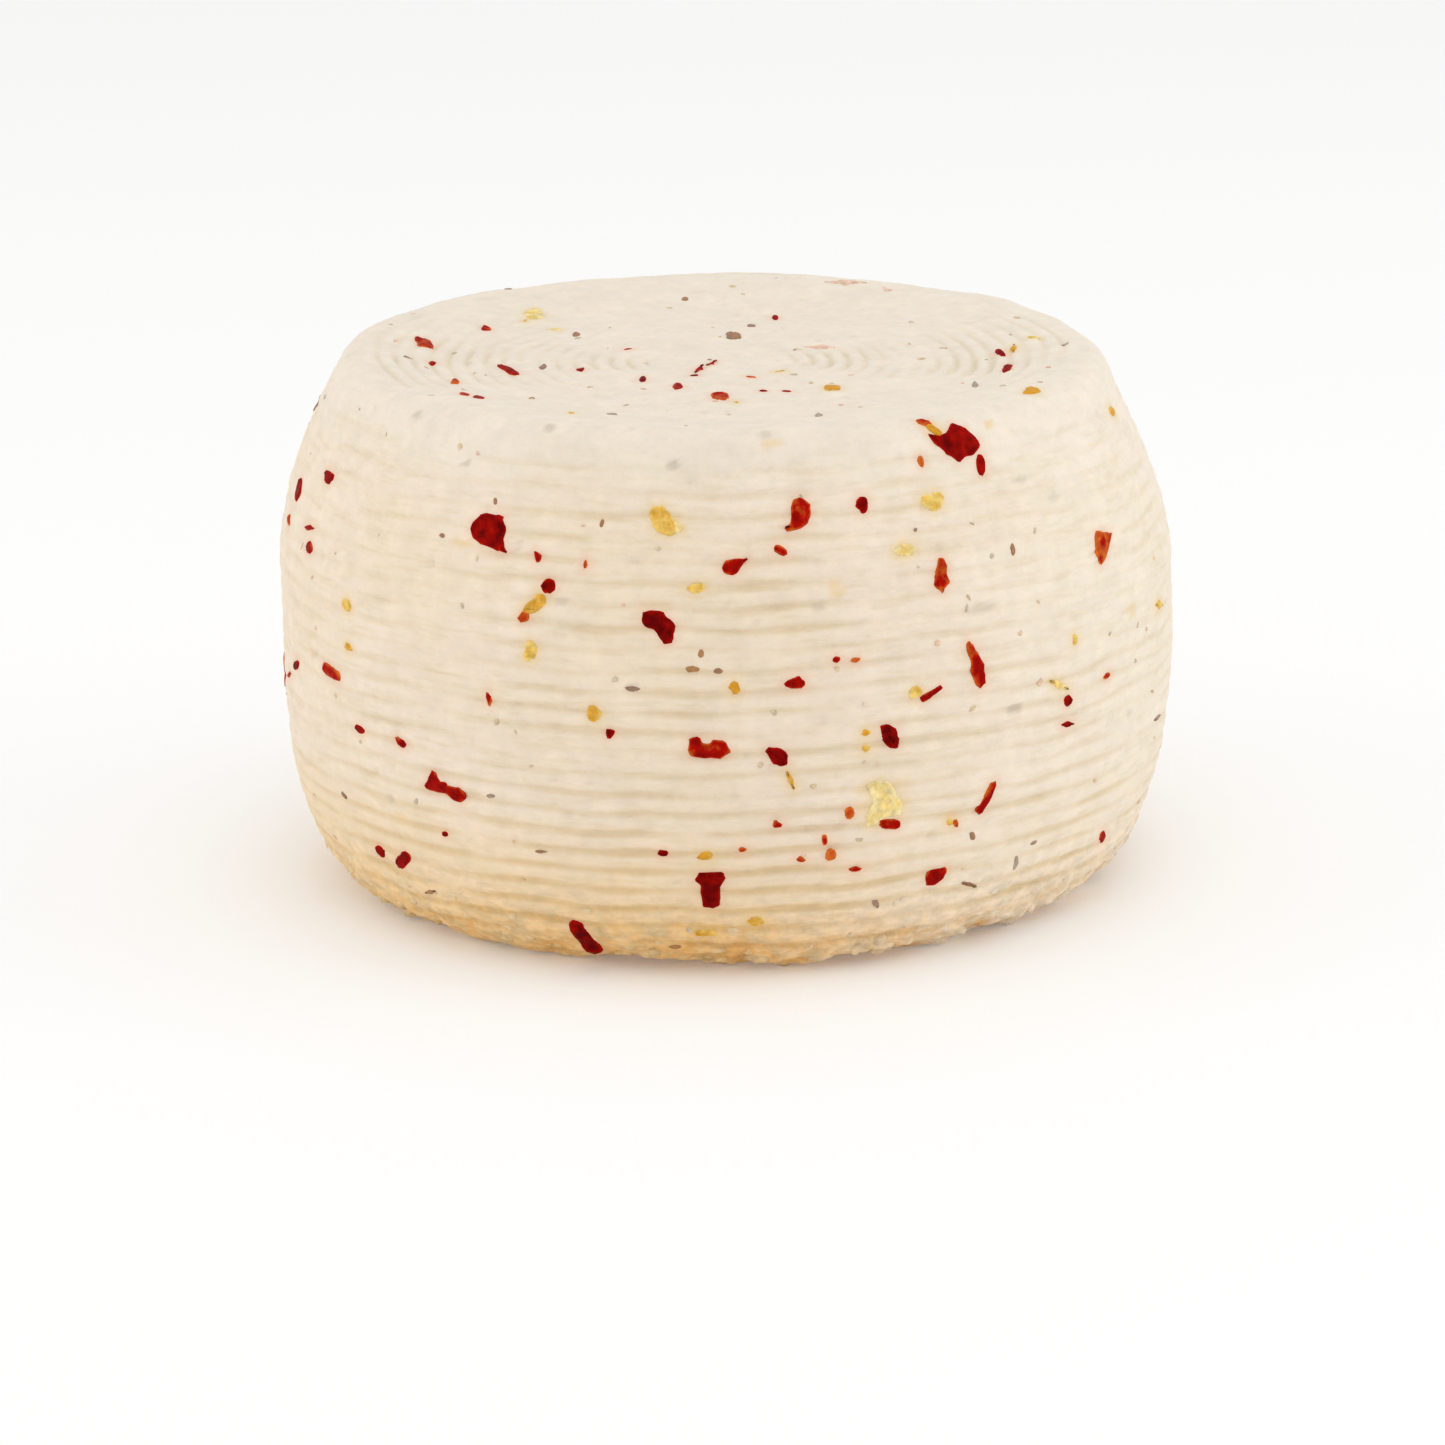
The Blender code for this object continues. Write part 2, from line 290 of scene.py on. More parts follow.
def ringDepth(radius, azimuth):  # how deep the ring's groove is here, as a share of a full one
    wobble = 0.0004 * math.sin(3 * azimuth + 1.0) + 0.0002 * math.sin(11 * azimuth + radius / 0.004)
    place = Vector((radius * math.sin(azimuth), radius * math.cos(azimuth), 0.3))
    strength = min(1.4, max(0.15, 0.85 + 1.1 * noise.noise(place / 0.012)))
    strength *= 0.15 + 0.85 * math.sin(azimuth) ** 6
    strength *= smoothShare(radius, 0.002, 0.016) * (1 - smoothShare(radius, 0.0565, 0.0590))
    return grooveShape((rings["outer"] - radius + wobble) / rings["pitch"]) * strength


def topPoint(x, y, lift=0.0, relief=1.0):
    radius, azimuth = math.hypot(x, y), math.atan2(x, -y)
    level = topLevel(radius)
    rough = curdRelief(Vector((x, y, level))) - rings["depth"] * ringDepth(radius, azimuth)
    return Vector((x, y, (level + topSwell(azimuth, radius)) * slopeFactor(x) + relief * rough + lift))


def baseShare(azimuth):  # how far the base is drawn in to stay within the lowest edge of the flank
    edge = flankPoint(azimuth, crumbs["edgeRows"][0])
    return min(1.0, (math.hypot(edge.x, edge.y) - crumbs["baseMargin"]) / rings["outer"])


def basePoint(x, y, lift=0.0, relief=1.0):
    radius, azimuth = math.hypot(x, y), math.atan2(x, -y)
    ring = rings["depth"] * ringDepth(radius, azimuth + 2.0)
    rough = curd["baseRough"] * max(0.0, noise.noise(Vector((x, y, 0.9)) / curd["baseRoughSize"]))
    return Vector((x, y, max(0.0, wheel["baseLift"] + relief * (ring + rough) - lift)))


# 1: the wheel of paste, one closed turned body
def ringRadii(outermost, rowsToRing):
    step = rings["pitch"] / rowsToRing
    return [outermost - step * row for row in range(int(outermost / step))]


def wheelRows():
    rows = [(0.0, 0.0)]
    rows += [(radius, 0.0) for radius in reversed(ringRadii(rings["outer"], rings["baseRows"]))]
    rows += [(flankRadius(height), height) for height in crumbs["edgeRows"]]
    for row in range(ribs["count"] * ribs["rows"]):
        height = ribs["firstGroove"] + row * ribs["pitch"] / ribs["rows"]
        rows.append((flankRadius(height), height))
    for step in range(wheel["shoulderSteps"] + 1):
        rows.append(tuple(shoulderPoint(step / wheel["shoulderSteps"])))
    inner = ringRadii(rings["outer"] + rings["pitch"], rings["topRows"])
    rows += [(radius, wheel["height"]) for radius in inner if radius < wheel["topRadius"] - 0.0003]
    return rows + [(0.0, wheel["height"])]


def makeWheel():
    bm = bmesh.new()
    chain = [bm.verts.new((0, -radius, height)) for radius, height in wheelRows()]
    edges = [bm.edges.new(pair) for pair in zip(chain, chain[1:])]
    bmesh.ops.spin(bm, geom=chain + edges, axis=(0, 0, 1), cent=(0, 0, 0), angle=math.tau,
                   steps=wheel["steps"], use_merge=True)
    bmesh.ops.remove_doubles(bm, verts=bm.verts[:], dist=1e-6)
    # the groove share also sets the painted shade of the grooves in the paste's colour
    groove = bm.verts.layers.float.new("groove")
    # the hollow share also sets the painted shade in the foot's hollows and notches
    hollow = bm.verts.layers.float.new("hollow")
    for vert in bm.verts:
        x, y, height = vert.co
        radius, azimuth = math.hypot(x, y), math.atan2(x, -y)
        azimuth -= wheel["frontFineness"] * math.sin(azimuth)
        out = Vector((math.sin(azimuth), -math.cos(azimuth))) * radius
        if height < 1e-6:
            vert.co = basePoint(*(out * baseShare(azimuth)))
        elif radius < wheel["topRadius"] + 1e-6 and height > wheel["bellyHeight"]:
            vert.co = topPoint(out.x, out.y)
            vert[groove] = ringDepth(radius, azimuth)
        else:
            height += ribWander(azimuth, height)
            place = flankPlace(azimuth, height)
            vert.co = flankPoint(azimuth, height)
            vert[groove] = grooveDepth(azimuth, height, place)
            vert[hollow] = min(1.0, max(0.0, -baseCrumble(azimuth, height, place) / crumbs["hollowDepth"]))
    bmesh.ops.recalc_face_normals(bm, faces=bm.faces[:])
    return makePiece("pecorino_wheel", bm)


def makePiece(name, bm):
    mesh = bpy.data.meshes.new(name)
    bm.to_mesh(mesh)
    bm.free()
    mesh.shade_smooth()
    piece = bpy.data.objects.new(name, mesh)
    bpy.context.scene.collection.objects.link(piece)
    return piece


# 2: crumbs of curd that cling to the foot of the wheel
def makeCrumbs(kinds):
    outlined = [place(across, up, 0) for rows in kinds.values() for place, points, _ in rows
                for across, up in points + [(0, 0)]]
    outlined = [point for point in outlined if point.z < crumbs["flakeHeight"]]
    draw = random.Random(17)
    bm = bmesh.new()
    for _ in range(crumbs["lumps"]):
        azimuth = math.tau * draw.random()
        rise = draw.random() ** 1.5
        height = 0.0004 + crumbs["lumpHeight"] * rise
        size = draw.uniform(*crumbs["lumpSizes"]) * (1 - 0.45 * rise)
        centre = flankPoint(azimuth, height, -(0.20 + 0.16 * rise) * size)
        if any((centre - point).length < crumbs["clearance"] for point in outlined):
            continue
        lump = bmesh.ops.create_uvsphere(bm, u_segments=7, v_segments=5, radius=size / 2)["verts"]
        along = Vector((math.cos(azimuth), math.sin(azimuth), 0)) * draw.uniform(0.9, 1.9)
        out = Vector((math.sin(azimuth), -math.cos(azimuth), 0)) * draw.uniform(0.8, 1.1)
        upward = Vector((0, 0, 1)) * draw.uniform(0.6, 1.0)
        seed = Vector((draw.random(), draw.random(), draw.random())) * 9
        for vert in lump:
            swollen = 1 + 0.6 * noise.noise(vert.co / size * 2.2 + seed)
            vert.co = centre + (along * vert.co.x + out * vert.co.y + upward * vert.co.z) * swollen
            vert.co.z = max(0.00005, vert.co.z)
    bmesh.ops.recalc_face_normals(bm, faces=bm.faces[:])
    return makePiece("foot_crumbs", bm)


# 3: flakes, each a thin chip that follows the surface it is pressed into
chip = {
    "sunk": 0.0009,
    "rim": -0.00006,
    "inset": 0.00022,
    "crown": 0.00019,
    "wrinkle": 0.00008,
    "mesh": 0.0009,
    "follow": 0.7,  # how much of the ribs shows through a flake
    "fullness": 1.1,
    "large": 0.0022,
    "corners": 20,
    "speckCorners": 9,
}

# how far each small outline reaches at equal angles, as a share of half the length or width
outlines = {
    "bar": (1.0, 1.12, 1.1, 0.95, 1.12, 1.1, 1.0, 1.1, 1.12, 1.0, 1.1, 1.12),
    "pinched": (1.0, 1.1, 0.85, 0.7, 0.95, 1.15, 1.0, 1.1, 0.95, 0.75, 0.85, 1.1),
    "splinter": (1.15, 0.8, 0.85, 0.9, 0.8, 0.8, 1.1, 0.8, 0.85, 0.9, 0.85, 0.8),
    "wedge": (0.8, 1.05, 1.22, 1.0, 1.22, 1.1, 0.8, 0.7, 0.9, 1.0, 0.9, 0.7),
    "comma": (0.95, 1.0, 1.0, 1.0, 0.95, 0.85, 0.8, 1.3, 1.15, 0.95, 0.85, 0.9),
    "round": (1.0, 0.94, 1.03, 0.97, 1.0, 0.92, 1.04, 0.96, 1.0, 0.95, 1.02, 0.98),
}


def outlineReach(shape, angle):
    reaches = outlines[shape]
    spot = angle / math.tau * len(reaches)
    first = int(spot) % len(reaches)
    blend = smoothShare(spot - int(spot), 0, 1)
    return reaches[first] * (1 - blend) + reaches[(first + 1) % len(reaches)] * blend


def smallOutline(shape, length, width, lean, draw):
    large = length / 1000 > chip["large"]
    corners, jag = (chip["corners"], 0.06) if large else (chip["speckCorners"], 0.15)
    lean = math.radians(lean)
    points = []
    for corner in range(corners):
        angle = math.tau * corner / corners
        reach = outlineReach(shape, angle) * draw.uniform(1 - jag, 1 + jag) * chip["fullness"] / 2000
        along, across = math.cos(angle) * length * reach, math.sin(angle) * width * reach
        points.append((along * math.cos(lean) - across * math.sin(lean),
                       along * math.sin(lean) + across * math.cos(lean)))
    return points


def largeOutline(corners, draw):  # corners in mm, cut once so that they are rounded
    points = []
    for (x, y), (nextX, nextY) in zip(corners, corners[1:] + corners[:1]):
        for part in (0.17, 0.83):
            wobble = draw.uniform(0.98, 1.09) / 1000
            points.append(((x + (nextX - x) * part) * wobble, (y + (nextY - y) * part) * wobble))
    return points


def flankPlacer(azimuth, height):
    azimuth = math.radians(azimuth)
    height = height / 1000
    slope = (outerRadius(height + 0.0005) - outerRadius(height - 0.0005)) / 0.001
    rise = 1 / math.sqrt(1 + slope * slope)

    def place(across, up, lift):
        level = min(wheel["height"] - 0.0001, max(0.0002, height + up * rise))
        return flankPoint(azimuth + across / outerRadius(level), level, lift, chip["follow"])

    return place


def topPlacer(x, y):
    return lambda across, up, lift: topPoint(x / 1000 + across, y / 1000 + up, lift, chip["follow"])


def basePlacer(x, y):
    return lambda across, up, lift: basePoint(x / 1000 + across, y / 1000 + up, lift, chip["follow"])


def facesWithin(points):
    faces = dict.fromkeys(face for point in points for face in point.link_faces)
    return [face for face in faces if all(vert in points for vert in face.verts)]


# gives the middle of a chip its own points, so that it can follow the ribs below it
def refineLid(bm, lid):
    points = dict.fromkeys(lid.verts)
    for _ in range(4):
        wide = [face for face in facesWithin(points) if len(face.verts) > 3]
        bmesh.ops.triangulate(bm, faces=wide)
        faces = facesWithin(points)
        within = set(faces)
        for edge in dict.fromkeys(edge for face in faces for edge in face.edges):
            if edge.calc_length() > chip["mesh"] and all(face in within for face in edge.link_faces):
                points[bmesh.utils.edge_split(edge, edge.verts[0], 0.5)[1]] = None
    bmesh.ops.triangulate(bm, faces=[face for face in facesWithin(points) if len(face.verts) > 3])
    return list(points)


def addChip(bm, toneLayer, place, points, tone, rimWarmth):
    ring = bmesh.ops.create_circle(bm, cap_ends=True, segments=len(points), radius=1.0)["verts"]
    for vert, (across, up) in zip(ring, points):
        vert.co = (across, up, 0)
    span = min(max(values) - min(values) for values in zip(*points))
    inset = min(chip["inset"], 0.16 * span)
    crown = chip["crown"] * (0.45 + 0.55 * min(1.0, span / 0.003))
    raised = bmesh.ops.extrude_face_region(bm, geom=[ring[0].link_faces[0]])["geom"]
    lid = [item for item in raised if isinstance(item, bmesh.types.BMFace)]
    levels = {vert: (-chip["sunk"], 0.0) for vert in ring}
    for lift, warmth in ((chip["rim"], rimWarmth), (crown * 0.8, 0.3 * rimWarmth)):
        band = bmesh.ops.inset_region(bm, faces=lid, thickness=inset, use_even_offset=False)["faces"]
        shelf = set(lid[0].verts)
        levels.update({vert: (lift, warmth) for face in band for vert in face.verts if vert not in shelf})
    levels.update({vert: (crown, -0.5 * rimWarmth) for vert in refineLid(bm, lid[0])})
    for vert, (lift, warmth) in levels.items():
        wrinkle = noise.noise(vert.co / 0.0011 + Vector((tone, 0, 5)))
        lift += chip["wrinkle"] * max(0.0, lift / crown) * wrinkle
        vert.co = place(vert.co.x, vert.co.y, lift)
        vert[toneLayer] = tone + warmth + 0.28 * noise.noise(vert.co / 0.0014)


# large flakes: azimuth, height in mm, tone from dark 0 to orange 1, then the outline's corners in mm
largeRed = [
    (-31.8, 70.2, 0.30, ((2.8, 0.6), (2.4, 2.2), (1.2, 2.6), (-0.6, 2.6), (-1.9, 2.1), (-2.7, 1.1),
     (-3.1, 0.0), (-2.6, -1.3), (-1.2, -2.2), (0.6, -2.4), (2.2, -3.0), (3.5, -3.0), (2.9, -1.4))),
    (35.0, 81.9, 0.34, ((4.0, 0.2), (3.8, -1.0), (2.2, -2.4), (0.8, -2.2), (-0.8, -3.0), (-2.0, -1.8),
     (-3.6, 0.0), (-4.8, 2.3), (-3.0, 1.7), (-1.3, 2.1), (0.1, 3.2), (1.8, 2.5))),
    (9.8, 74.4, 0.56, ((2.0, 1.0), (1.2, 2.2), (0.2, 2.4), (-0.6, 2.0), (-1.0, 1.0), (-1.0, -0.3),
     (-1.3, -1.4), (-2.4, -2.2), (-1.8, -2.6), (0.0, -2.4), (1.2, -1.8), (1.9, -0.4))),
    (-38.6, 28.5, 0.46, ((4.2, -1.2), (3.8, 0.9), (2.0, 0.7), (0.4, 1.0), (-0.6, 1.4), (-1.4, 2.1),
     (-2.4, 2.4), (-3.0, 1.2), (-3.9, -0.1), (-3.6, -0.9), (-1.5, -1.0), (0.3, -0.8), (1.6, -1.4),
     (3.4, -1.8))),
    (-20.9, 5.9, 0.20, ((2.2, -1.4), (1.2, 1.4), (0.5, 3.2), (-1.0, 3.4), (-1.6, 2.6), (-1.7, 1.2),
     (-1.2, -0.6), (-0.7, -2.4), (-0.3, -4.0), (1.0, -4.3), (2.3, -3.6))),
    (-2.5, 15.9, 0.18, ((1.5, 0.5), (2.3, 1.6), (1.9, 2.7), (0.0, 2.9), (-1.9, 2.6), (-2.3, 1.4),
     (-1.5, 0.6), (-1.5, -1.0), (-1.4, -3.1), (0.0, -3.5), (1.4, -3.1), (1.5, -1.2))),
    (55.9, 62.6, 0.80, ((3.8, 1.1), (2.2, 1.5), (0.6, 2.2), (-1.0, 2.5), (-1.8, 1.4), (-2.4, -0.2),
     (-2.2, -1.8), (-1.4, -2.9), (0.2, -2.4), (1.0, -1.4), (2.2, 0.0))),
    (32.1, 49.0, 0.56, ((1.4, 0.2), (0.3, 2.0), (-0.6, 3.4), (-1.2, 4.0), (-1.8, 3.6), (-1.4, 1.8),
     (-0.9, -0.2), (-0.6, -1.9), (-0.1, -3.3), (0.7, -3.9), (1.6, -3.3), (1.7, -1.4))),
    (34.3, 27.1, 0.58, ((1.5, 1.3), (1.3, 2.4), (0.2, 2.3), (-0.3, 1.2), (-1.0, 0.1), (-2.0, -1.8),
     (-1.6, -2.7), (-0.5, -2.4), (0.5, -0.6))),
    (-8.2, 57.9, 0.16, ((2.5, 0.8), (2.5, -1.3), (2.0, -2.2), (0.9, -2.3), (0.1, -1.2), (-0.5, -0.2),
     (-1.9, 0.1), (-2.5, 1.0), (-2.4, 2.2), (-1.4, 2.7), (0.6, 2.6), (1.7, 1.7))),
    (-2.4, 39.3, 0.54, ((3.6, -0.6), (2.6, 1.2), (0.8, 1.4), (0.2, 0.8), (-0.7, 0.8), (-1.2, 1.7),
     (-2.6, 1.6), (-2.9, 0.0), (-2.9, -1.3), (0.0, -1.7), (2.1, -1.7))),
    (1.3, 67.2, 0.44, ((2.2, 1.1), (0.4, 1.1), (-1.2, 0.9), (-2.0, -0.2), (-1.7, -1.1), (-0.6, -1.5),
     (0.4, -1.1), (1.0, 0.0))),
    (28.2, 63.6, 0.66, ((1.2, 1.4), (0.9, 2.6), (-0.2, 2.5), (-0.6, 1.2), (-1.0, 0.0), (-1.7, -1.4),
     (-0.8, -2.2), (-0.2, -2.8), (0.4, -2.0), (1.3, -1.2), (1.0, 0.0))),
    (27.4, 15.0, 0.44, ((2.0, 0.6), (1.6, 1.5), (0.0, 1.3), (-1.4, 1.2), (-2.0, 0.1), (-1.5, -1.4),
     (-0.2, -1.6), (1.2, -0.8))),
    (20.4, 39.5, 0.20, ((1.0, 0.9), (-0.4, 1.8), (-1.9, 1.8), (-1.6, 0.4), (-1.2, -0.8), (-0.4, -1.8),
     (1.0, -2.1), (1.5, -1.0))),
    (6.0, 37.6, 0.24, ((1.6, 0.4), (0.3, 1.4), (-1.5, 1.5), (-1.9, 0.9), (-1.3, 0.2), (-0.9, -1.0),
     (0.5, -1.7), (1.6, -1.3))),
    (8.0, 49.2, 0.42, ((1.8, 0.3), (1.0, 1.1), (0.2, 0.9), (-1.0, 0.5), (-1.4, 0.1), (-1.2, -0.4),
     (-0.4, -0.9), (1.2, -1.0), (1.9, -0.5))),
]
largeGold = [
    (19.6, 28.9, 0.08, ((-3.0, 3.3), (-1.2, 3.6), (0.8, 3.1), (2.0, 1.0), (3.0, -0.6), (2.7, -2.3),
     (1.4, -2.4), (-0.6, -2.6), (-1.2, -3.8), (-3.0, -3.6), (-3.3, -1.9), (-2.0, -0.3), (-2.3, 1.4))),
    (-8.0, 73.6, 0.68, ((1.0, 0.9), (0.2, 2.0), (-1.4, 2.1), (-2.1, 0.9), (-1.6, -0.6), (-0.9, -1.9),
     (0.8, -2.4), (2.1, -1.9), (2.1, -0.5))),
    (-24.0, 60.0, 0.80, ((1.9, 0.4), (1.4, 2.0), (0.2, 2.0), (-0.4, 1.0), (-1.6, 0.2), (-2.0, -0.8),
     (-1.0, -1.4), (0.4, -0.9))),
]

# smaller red flakes: azimuth, height, length and width in mm, lean in degrees, outline, tone
redFlakes = [
    (20.3, 25.2, 3.2, 1.6, -12, "bar", 0.60), (25.9, 45.5, 3.6, 1.3, 28, "pinched", 0.42),
    (37.8, 78.4, 3.2, 1.6, 75, "bar", 0.36), (30.9, 85.4, 2.6, 1.8, -40, "round", 0.70),
    (18.6, 75.1, 2.4, 2.0, 60, "comma", 0.24), (7.1, 69.3, 2.2, 1.4, -35, "round", 0.48),
    (-48.8, 13.9, 4.4, 2.0, 40, "bar", 0.30), (-53.9, 13.9, 2.6, 1.7, -20, "round", 0.30),
    (-59.6, 42.2, 5.0, 2.5, -5, "pinched", 0.56), (-67.0, 70.9, 5.0, 1.9, 0, "wedge", 0.42),
    (-79.2, 65.9, 4.2, 3.6, 0, "round", 0.30), (-69.2, 62.6, 4.2, 1.1, 10, "splinter", 0.55),
    (-67.5, 60.0, 2.8, 2.0, 10, "round", 0.45), (-81.0, 60.5, 3.2, 1.8, 0, "round", 0.60),
    (-72.1, 39.5, 3.4, 1.4, 20, "bar", 0.15),
    (-45.8, 34.4, 2.6, 1.3, -15, "round", 0.46), (-53.8, 34.5, 2.6, 1.5, 5, "round", 0.32),
    (-22.4, 63.1, 2.3, 2.1, 0, "round", 0.32), (-25.4, 58.3, 1.9, 1.8, 0, "comma", 0.66),
    (-24.4, 67.3, 1.1, 1.7, 20, "round", 0.45), (-30.4, 44.5, 1.3, 2.0, 0, "wedge", 0.66),
    (-8.4, 21.9, 1.5, 1.2, 0, "round", 0.18), (-14.3, 41.1, 1.5, 1.3, 0, "wedge", 0.10),
    (15.0, 27.7, 1.8, 1.9, 0, "round", 0.80), (12.7, 20.9, 1.7, 1.8, 0, "round", 0.84),
    (11.9, 23.5, 1.0, 1.9, 10, "round", 0.74), (5.9, 26.6, 1.5, 1.3, 0, "round", 0.62),
    (8.9, 20.6, 1.4, 1.1, -20, "round", 0.66), (1.6, 22.6, 1.2, 1.0, 0, "round", 0.78),
    (15.9, 18.2, 1.9, 0.8, 0, "round", 0.50), (47.5, 39.6, 2.0, 1.9, 0, "round", 0.24),
    (47.6, 35.7, 3.0, 1.1, -10, "splinter", 0.32), (56.0, 41.3, 2.2, 1.2, -10, "round", 0.70),
    (60.5, 12.6, 3.2, 1.5, -40, "bar", 0.45), (-39.2, 20.8, 1.3, 0.9, 0, "round", 0.36),
    (29.5, 23.7, 1.7, 1.0, -60, "round", 0.62), (13.5, 52.5, 1.2, 1.1, 0, "round", 0.40),
    (15.9, 52.1, 1.6, 0.9, 0, "round", 0.90), (28.5, 80.2, 1.8, 1.1, 80, "round", 0.88),
    (-17.8, 66.7, 0.7, 1.3, 0, "round", 0.72), (-77.8, 36.1, 3.4, 1.1, 20, "splinter", 0.50),
]

# smaller golden flakes: tone from pale 0 to deep gold 1
goldFlakes = [
    (-6.2, 72.6, 2.2, 1.8, 0, "round", 0.28), (-24.3, 53.0, 3.3, 2.0, 80, "wedge", 0.62),
    (-16.3, 44.3, 2.1, 2.4, 0, "round", 0.90), (28.9, 74.2, 4.2, 2.7, 5, "wedge", 0.55),
    (23.6, 67.9, 3.5, 2.0, 0, "round", 0.22), (-3.5, 64.0, 2.2, 1.7, 20, "pinched", 0.66),
    (23.7, 46.0, 2.2, 1.9, 0, "round", 0.60), (-2.9, 21.6, 2.2, 1.5, 0, "comma", 1.10),
    (7.6, 33.7, 2.6, 0.9, -70, "splinter", 0.95), (-54.7, 54.4, 2.6, 2.1, 0, "round", 0.55),
    (-54.8, 47.6, 2.2, 1.4, 0, "round", 0.80), (48.2, 49.5, 1.3, 1.9, 0, "round", 0.60),
    (45.5, 42.8, 4.0, 1.3, -28, "splinter", 0.40), (73.0, 47.8, 5.0, 1.8, -15, "splinter", 0.60),
    (28.6, 24.1, 1.3, 1.2, 0, "round", 0.60), (3.3, 10.0, 2.4, 1.9, 0, "round", 0.85),
    (-3.4, 7.8, 3.2, 1.5, 0, "pinched", 0.80), (74.6, 79.0, 3.4, 1.6, 0, "round", 0.75),
    (17.1, 40.4, 1.3, 1.0, 0, "round", 0.90), (17.1, 37.9, 1.2, 1.0, 0, "round", 0.80),
    (31.9, 84.3, 2.8, 1.3, -50, "bar", 1.15),
    (1.0, 48.7, 1.7, 2.0, 15, "wedge", 1.15),
]

# brown and grey specks: tone from grey 0 to brown 1
darkSpecks = [
    (-11.5, 48.5, 2.2, 1.0, 0, "splinter", 0.4), (19.2, 11.6, 1.8, 0.9, -60, "round", 0.3),
    (-38.7, 68.4, 1.1, 0.7, 0, "round", 0.6), (-16.1, 72.7, 0.7, 1.2, 0, "round", 0.8),
    (-31.5, 74.5, 0.8, 1.1, 0, "round", 0.7), (39.4, 65.6, 1.0, 1.8, 0, "round", 0.8),
    (-4.1, 51.8, 1.9, 1.0, 0, "round", 0.9), (-1.0, 51.5, 1.3, 1.0, 0, "round", 0.8),
    (-3.0, 54.3, 1.0, 1.2, 0, "round", 0.9), (-24.5, 20.8, 1.9, 0.6, 5, "splinter", 0.7),
    (32.4, 20.8, 1.6, 1.0, -60, "round", 0.7), (-7.8, 4.8, 1.8, 1.0, 0, "round", 0.9),
    (40.8, 14.0, 1.2, 2.5, 0, "round", 0.1), (43.4, 16.9, 1.6, 0.8, 0, "round", 0.4),
    (-44.6, 9.5, 2.4, 1.0, 20, "splinter", 0.6), (-30.9, 28.9, 1.7, 0.8, 15, "round", 0.1),
    (-60.2, 21.7, 1.5, 1.3, 0, "round", 0.4), (33.0, 12.3, 3.2, 0.8, -25, "splinter", 0.8),
    (74.2, 28.4, 4.0, 1.1, -5, "splinter", 0.5), (25.6, 70.6, 0.7, 0.6, 0, "round", 0.3),
]

# flakes of the upper face: right and back of the axis in mm, then as above
topRed = [
    (-48.3, 8.4, 6.2, 2.5, 103, "bar", 0.62), (-34.2, -6.7, 7.0, 1.7, 114, "bar", 0.44),
    (-40.3, -31.2, 4.6, 1.6, 92, "bar", 0.66), (-38.0, -34.2, 4.2, 1.8, 85, "bar", 0.36),
    (-46.6, -4.4, 1.4, 2.6, 0, "round", 0.40), (-42.4, -17.0, 1.5, 3.6, 0, "round", 0.80),
    (-7.0, -19.3, 1.5, 5.0, 0, "bar", 0.42), (-12.6, -13.6, 1.2, 4.2, 0, "round", 0.16),
    (-0.3, -26.6, 2.6, 4.8, 0, "bar", 0.66), (-3.6, -6.6, 5.2, 1.1, 78, "splinter", 0.50),
    (-1.6, -2.2, 3.6, 0.8, 68, "splinter", 0.55), (45.8, -8.4, 5.6, 1.3, 82, "bar", 0.34),
    (-22.7, -6.1, 1.4, 2.6, 0, "round", 0.30), (9.1, 33.4, 1.2, 3.2, 0, "round", 0.30),
    (-38.7, 22.3, 1.8, 3.2, 0, "round", 0.50), (45.2, 2.0, 4.4, 1.2, 100, "bar", 0.30),
]
topGold = [
    (-31.1, 33.4, 3.2, 6.4, 0, "round", 0.20), (17.5, -20.9, 2.4, 4.4, 0, "pinched", 0.95),
    (48.6, -31.8, 2.6, 4.4, 0, "comma", 1.05),
    (47.4, 3.6, 4.0, 1.2, 86, "splinter", 0.80),
]
topDark = [
    (2.1, 19.0, 2.3, 5.6, 0, "pinched", 0.6), (-23.8, 20.6, 1.6, 3.4, 0, "round", 0.6),
    (-28.7, -4.5, 1.3, 2.8, 0, "round", 0.6), (5.1, 27.0, 1.6, 2.6, 0, "round", 0.5),
    (40.1, -20.9, 1.1, 5.2, 0, "round", 0.1), (-5.9, 44.5, 1.3, 2.2, 0, "round", 0.8),
    (-35.8, 47.4, 1.6, 3.0, 0, "round", 0.3), (-17.1, -40.7, 1.6, 2.2, 0, "round", 0.2),
    (14.9, -42.3, 1.4, 5.2, 0, "round", 0.1),
]
topFaint = [(16.0, 9.8, 4.4, 2.6, 0, "splinter", 0.95), (21.0, 51.5, 6.0, 2.4, 0, "splinter", 0.90)]

hidden = {
    "seed": 11,
    "large": 14,
    "largeFrom": 84,
    "largeSpan": 196,
    "golden": 0.618034,
    "small": 70,
    "topSmall": 16,
    "base": 46,
    "faint": 130,
    "topFaint": 50,
}


# large flakes of the far half, by the rule that also placed them in the solid
def farFlakes(draw):
    for index in range(hidden["large"]):
        azimuth = hidden["largeFrom"] + hidden["largeSpan"] * (index + 0.5) / hidden["large"]
        height = 12 + 66 * ((index * hidden["golden"] + 0.3) % 1.0)
        length = draw.uniform(3.0, 7.5)
        yield azimuth, draw.uniform(-90, 90), height, length, length * draw.uniform(0.4, 0.85)


shapeNames = ("round", "bar", "pinched", "comma", "splinter", "wedge")


